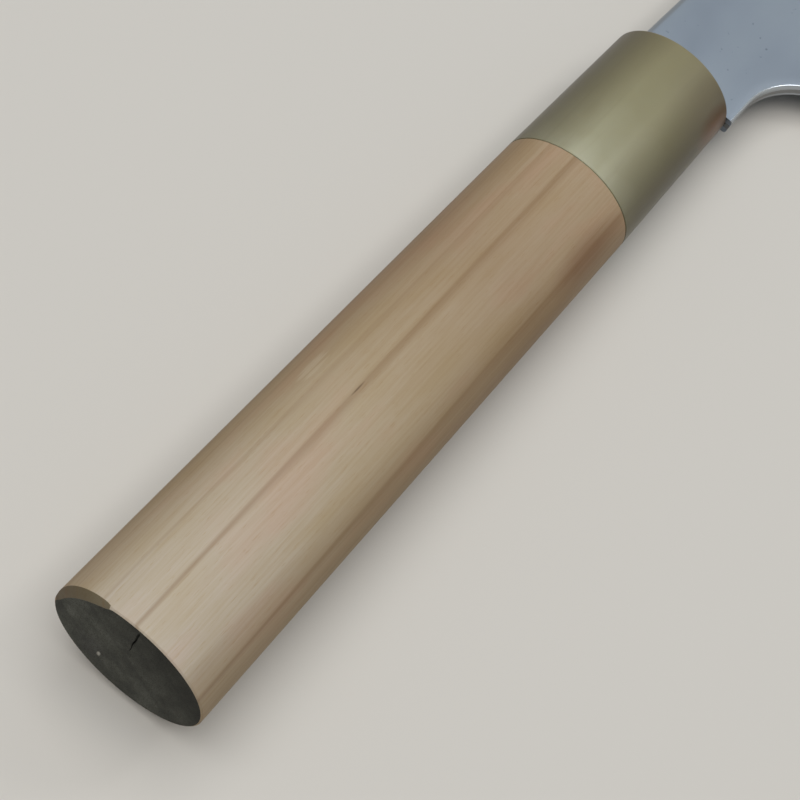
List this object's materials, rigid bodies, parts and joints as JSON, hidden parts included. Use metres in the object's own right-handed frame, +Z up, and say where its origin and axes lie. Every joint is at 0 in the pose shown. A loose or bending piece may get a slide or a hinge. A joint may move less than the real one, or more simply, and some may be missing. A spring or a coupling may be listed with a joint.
{
  "type": "gyuto knife",
  "caption": "Long Japanese chef's knife lying on its side: laminated steel blade with a hidden tang in an oval pale wood handle with a horn ferrule.",
  "frame": {"origin": "middle of the bounding box at the table's surface, with the knife lying on its left side as it comes to rest", "axes": "+X from the butt towards the tip, +Y from the edge towards the spine, +Z up out of the right face; the knife leans a few degrees, resting on the ferrule's rim and the edge"},
  "size_m": [0.4036, 0.0524, 0.0225],
  "materials": {
    "core_steel": "polished, darker band along the edge",
    "cladding_steel": "satin, softly clouded",
    "horn": "blond horn, polished to a soft gloss, faintly streaked",
    "ho_wood": "bare magnolia, sanded, straight grain along the handle",
    "dowel_wood": "plain wood, hidden",
    "bedding_resin": "cast resin, hidden",
    "seal_wax": "beeswax"
  },
  "bodies": {
    "root": {"blade_core": "core_steel", "cladding_right": "cladding_steel", "cladding_left": "cladding_steel", "ferrule": "horn", "handle_body": "ho_wood", "joint_dowel": "dowel_wood", "tang_bedding": "bedding_resin", "mouth_seal": "seal_wax"}
  },
  "joints": []
}
